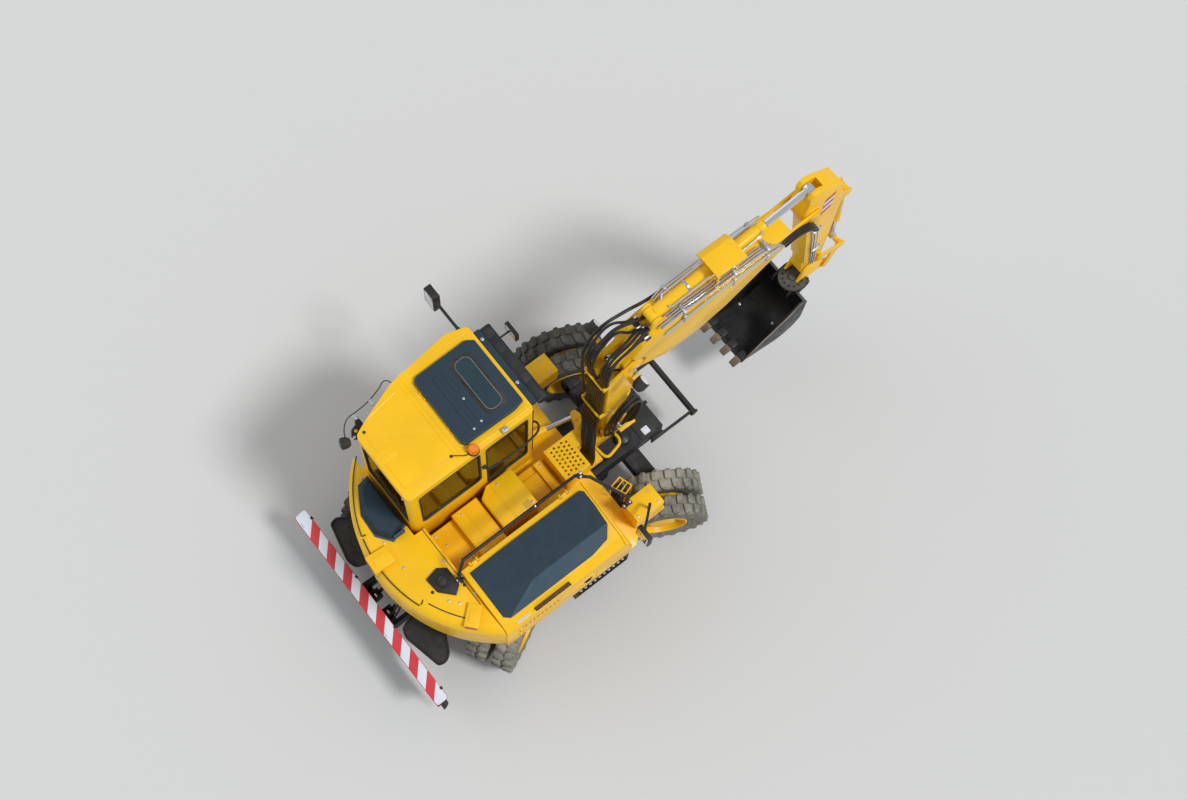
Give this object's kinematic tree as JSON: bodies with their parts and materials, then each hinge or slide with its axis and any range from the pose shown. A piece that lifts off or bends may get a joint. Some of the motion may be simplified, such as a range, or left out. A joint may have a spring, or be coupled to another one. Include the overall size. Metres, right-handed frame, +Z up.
{
  "type": "wheeled excavator",
  "caption": "Compact wheeled excavator with twin tyres on steered axles, a slewing upper body, an offset-swing two-piece boom, a bucket and a rear blade.",
  "frame": {"origin": "on the ground under the middle of the whole machine's box", "axes": "+X forward along the undercarriage and the boom, +Y to the machine's left, +Z up"},
  "size_m": [6.1319, 3.32, 4.02],
  "materials": {
    "yellow": "gloss construction yellow paint, lightly dusted",
    "frame_black": "satin black paint with dust",
    "slate": "fine-grained slate grey plastic",
    "tyre": "black rubber, dusty tread",
    "chrome": "polished chrome rod",
    "glass": "olive tinted glass",
    "amber": "clear amber plastic over a black foot",
    "seat": "black woven seat cover",
    "engine": "cast iron, oily",
    "bucket_black": "black paint, worn to brown steel at the teeth"
  },
  "bodies": {
    "chassis": {"chassis_frame": "frame_black", "front_axle": "frame_black", "rear_axle": "frame_black", "front_bar": "frame_black", "side_boxes": "frame_black", "rear_guards": "frame_black"},
    "blade": {"blade": "frame_black"},
    "blade_barrel": {"blade_barrels": "yellow"},
    "blade_rod": {"blade_rods": "chrome"},
    "knuckle_front_left": {"knuckle_front_left": "frame_black"},
    "wheels_front_left": {"rims_front_left": "yellow", "tyres_front_left": "tyre"},
    "knuckle_front_right": {"knuckle_front_right": "frame_black"},
    "wheels_front_right": {"rims_front_right": "yellow", "tyres_front_right": "tyre"},
    "knuckle_rear_left": {"knuckle_rear_left": "frame_black"},
    "wheels_rear_left": {"rims_rear_left": "yellow", "tyres_rear_left": "tyre"},
    "knuckle_rear_right": {"knuckle_rear_right": "frame_black"},
    "wheels_rear_right": {"rims_rear_right": "yellow", "tyres_rear_right": "tyre"},
    "upper": {"upper_frame": "yellow", "counterweight": "yellow", "engine": "engine", "housing": "yellow", "cab_shell": "yellow", "cab_glass": "glass", "cab_visor": "slate", "seat": "seat", "console": "slate", "deck_boxes": "yellow", "handrail": "frame_black", "mirrors": "frame_black", "beacon": "amber", "lamp_boxes": "yellow", "caps": "slate"},
    "hood": {"hood": "yellow", "hood_cover": "slate"},
    "side_door": {"side_door": "yellow"},
    "cab_door": {"cab_door": "yellow"},
    "roof_hatch": {"roof_hatch": "slate"},
    "swing_post": {"swing_post": "yellow"},
    "swing_barrel": {"swing_barrel": "yellow"},
    "swing_rod": {"swing_rod": "chrome"},
    "lower_boom": {"lower_boom": "yellow"},
    "lift_barrel": {"lift_barrel": "yellow"},
    "lift_rod": {"lift_rod": "chrome"},
    "adjust_barrel": {"adjust_barrel": "yellow"},
    "adjust_rod": {"adjust_rod": "chrome"},
    "upper_boom": {"upper_boom": "yellow"},
    "arm_barrel": {"arm_barrel": "yellow"},
    "arm_rod": {"arm_rod": "chrome"},
    "arm": {"arm": "yellow"},
    "bucket_barrel": {"bucket_barrel": "yellow"},
    "bucket_rod": {"bucket_rod": "chrome"},
    "rocker": {"rocker": "yellow"},
    "bucket_link": {"bucket_link": "yellow"},
    "bucket": {"coupler": "yellow", "bucket": "bucket_black"}
  },
  "joints": [
    {"name": "steer_front_left", "type": "hinge", "parent": "chassis", "child": "knuckle_front_left", "pos_m": [0.179, 0.475, 0.49], "axis": [0, 0, 1], "range_deg": [-5, 54]},
    {"name": "spin_front_left", "type": "hinge", "parent": "knuckle_front_left", "child": "wheels_front_left", "pos_m": [0.179, 0.475, 0.49], "axis": [0.342, 0.9397, 0], "continuous": true},
    {"name": "steer_front_right", "type": "hinge", "parent": "chassis", "child": "knuckle_front_right", "pos_m": [0.179, -1.015, 0.49], "axis": [0, 0, 1], "range_deg": [-6, 55]},
    {"name": "spin_front_right", "type": "hinge", "parent": "knuckle_front_right", "child": "wheels_front_right", "pos_m": [0.179, -1.015, 0.49], "axis": [0.4695, 0.8829, 0], "continuous": true},
    {"name": "steer_rear_left", "type": "hinge", "parent": "chassis", "child": "knuckle_rear_left", "pos_m": [-2.051, 0.475, 0.49], "axis": [0, 0, 1], "range_deg": [-54, 5]},
    {"name": "spin_rear_left", "type": "hinge", "parent": "knuckle_rear_left", "child": "wheels_rear_left", "pos_m": [-2.051, 0.475, 0.49], "axis": [-0.342, 0.9397, 0], "continuous": true},
    {"name": "steer_rear_right", "type": "hinge", "parent": "chassis", "child": "knuckle_rear_right", "pos_m": [-2.051, -1.015, 0.49], "axis": [0, 0, 1], "range_deg": [-55, 6]},
    {"name": "spin_rear_right", "type": "hinge", "parent": "knuckle_rear_right", "child": "wheels_rear_right", "pos_m": [-2.051, -1.015, 0.49], "axis": [-0.4695, 0.8829, 0], "continuous": true},
    {"name": "blade_lift", "type": "hinge", "parent": "chassis", "child": "blade", "pos_m": [-2.326, -0.27, 0.545], "axis": [0, -1, 0], "range_deg": [0, 26]},
    {"name": "blade_barrel_turn", "type": "hinge", "parent": "chassis", "child": "blade_barrel", "pos_m": [-2.356, -0.27, 0.8], "axis": [0, -1, 0], "range_deg": [-1, 21.81]},
    {"name": "blade_rod_slide", "type": "slide", "parent": "blade_barrel", "child": "blade_rod", "axis": [-0.8805, 0, -0.4741], "range_m": [-0.004, 0.1049]},
    {"name": "slew", "type": "hinge", "parent": "chassis", "child": "upper", "pos_m": [-1.316, -0.27, 1.055], "axis": [0, 0, 1], "continuous": true},
    {"name": "cab_door_turn", "type": "hinge", "parent": "upper", "child": "cab_door", "pos_m": [-1.643, 0.896, 2.1], "axis": [0, 0, 1], "range_deg": [0, 100]},
    {"name": "hood_turn", "type": "hinge", "parent": "upper", "child": "hood", "pos_m": [-1.316, -0.77, 1.9], "axis": [-1, 0, 0], "range_deg": [0, 60]},
    {"name": "side_door_turn", "type": "hinge", "parent": "upper", "child": "side_door", "pos_m": [-2.013, -1.513, 1.365], "axis": [0, 0, -1], "range_deg": [0, 100]},
    {"name": "roof_hatch_turn", "type": "hinge", "parent": "upper", "child": "roof_hatch", "pos_m": [-1.556, 0.37, 2.902], "axis": [0, -1, 0], "range_deg": [0, 60]},
    {"name": "boom_swing", "type": "hinge", "parent": "upper", "child": "swing_post", "pos_m": [-0.216, -0.27, 1.245], "axis": [0, 0, 1], "range_deg": [-60, 60]},
    {"name": "swing_barrel_turn", "type": "hinge", "parent": "upper", "child": "swing_barrel", "pos_m": [-1.146, 0.15, 1.24], "axis": [0, 0, 1], "range_deg": [-2.75, 2.75]},
    {"name": "swing_rod_slide", "type": "slide", "parent": "swing_barrel", "child": "swing_rod", "axis": [0.98, -0.1991, 0], "range_m": [-0.2136, 0.2136]},
    {"name": "boom_lift", "type": "hinge", "parent": "swing_post", "child": "lower_boom", "pos_m": [-0.041, -0.27, 1.5], "axis": [0, -1, 0], "range_deg": [-70, 6]},
    {"name": "lift_barrel_turn", "type": "hinge", "parent": "swing_post", "child": "lift_barrel", "pos_m": [0.164, -0.27, 1.29], "axis": [0, -1, 0], "range_deg": [-66.57, 6.62]},
    {"name": "lift_rod_slide", "type": "slide", "parent": "lift_barrel", "child": "lift_rod", "axis": [0.1644, 0, 0.9864], "range_m": [-0.3398, 0.0328]},
    {"name": "boom_adjust", "type": "hinge", "parent": "lower_boom", "child": "upper_boom", "pos_m": [0.164, -0.27, 3.02], "axis": [0, 1, 0], "range_deg": [-35, 25]},
    {"name": "adjust_barrel_turn", "type": "hinge", "parent": "lower_boom", "child": "adjust_barrel", "pos_m": [0.004, -0.27, 1.85], "axis": [0, -1, 0], "range_deg": [-4.54, 5.96]},
    {"name": "adjust_rod_slide", "type": "slide", "parent": "adjust_barrel", "child": "adjust_rod", "axis": [-0.0144, 0, 0.9999], "range_m": [-0.1235, 0.0894]},
    {"name": "arm_swing", "type": "hinge", "parent": "upper_boom", "child": "arm", "pos_m": [2.294, -0.27, 3.56], "axis": [0, -1, 0], "range_deg": [-25, 60]},
    {"name": "arm_barrel_turn", "type": "hinge", "parent": "upper_boom", "child": "arm_barrel", "pos_m": [0.444, -0.27, 3.65], "axis": [0, -1, 0], "range_deg": [-4.24, 2.35]},
    {"name": "arm_rod_slide", "type": "slide", "parent": "arm_barrel", "child": "arm_rod", "axis": [0.987, 0, 0.1609], "range_m": [-0.3832, 0.162]},
    {"name": "bucket_curl", "type": "hinge", "parent": "arm", "child": "bucket", "pos_m": [2.659, -0.27, 1.64], "axis": [0, 1, 0], "range_deg": [-85, 60]},
    {"name": "rocker_turn", "type": "hinge", "parent": "arm", "child": "rocker", "pos_m": [2.714, -0.27, 2.01], "axis": [0, -1, 0], "range_deg": [-59, 84]},
    {"name": "link_turn", "type": "hinge", "parent": "rocker", "child": "bucket_link", "pos_m": [3.014, -0.27, 1.89], "axis": [0, -1, 0], "range_deg": [-69, 49]},
    {"name": "bucket_barrel_turn", "type": "hinge", "parent": "arm", "child": "bucket_barrel", "pos_m": [2.854, -0.27, 3.25], "axis": [0, -1, 0], "range_deg": [-1.85, 2.2]},
    {"name": "bucket_rod_slide", "type": "slide", "parent": "bucket_barrel", "child": "bucket_rod", "axis": [0.1168, 0, -0.9932], "range_m": [-0.3966, 0.2812]}
  ],
  "couplings": [
    {"joint": "steer_front_right", "follows": "steer_front_left", "ratio": 1},
    {"joint": "steer_rear_right", "follows": "steer_rear_left", "ratio": 1},
    {"joint": "blade_barrel_turn", "follows": "blade_lift", "ratio": 0.8005},
    {"joint": "blade_rod_slide", "follows": "blade_lift", "m_per_rad": 0.22246},
    {"joint": "swing_barrel_turn", "follows": "boom_swing", "ratio": -0.0292},
    {"joint": "swing_rod_slide", "follows": "boom_swing", "m_per_rad": -0.20019},
    {"joint": "lift_barrel_turn", "follows": "boom_lift", "ratio": 0.9367},
    {"joint": "lift_rod_slide", "follows": "boom_lift", "m_per_rad": 0.27487},
    {"joint": "adjust_barrel_turn", "follows": "boom_adjust", "ratio": -0.1418},
    {"joint": "adjust_rod_slide", "follows": "boom_adjust", "m_per_rad": 0.19566},
    {"joint": "arm_barrel_turn", "follows": "arm_swing", "ratio": -0.054},
    {"joint": "arm_rod_slide", "follows": "arm_swing", "m_per_rad": -0.3621},
    {"joint": "rocker_turn", "follows": "bucket_curl", "ratio": -0.932},
    {"joint": "link_turn", "follows": "bucket_curl", "ratio": 0.7625},
    {"joint": "bucket_barrel_turn", "follows": "bucket_curl", "ratio": -0.0141},
    {"joint": "bucket_rod_slide", "follows": "bucket_curl", "m_per_rad": 0.26466}
  ]
}
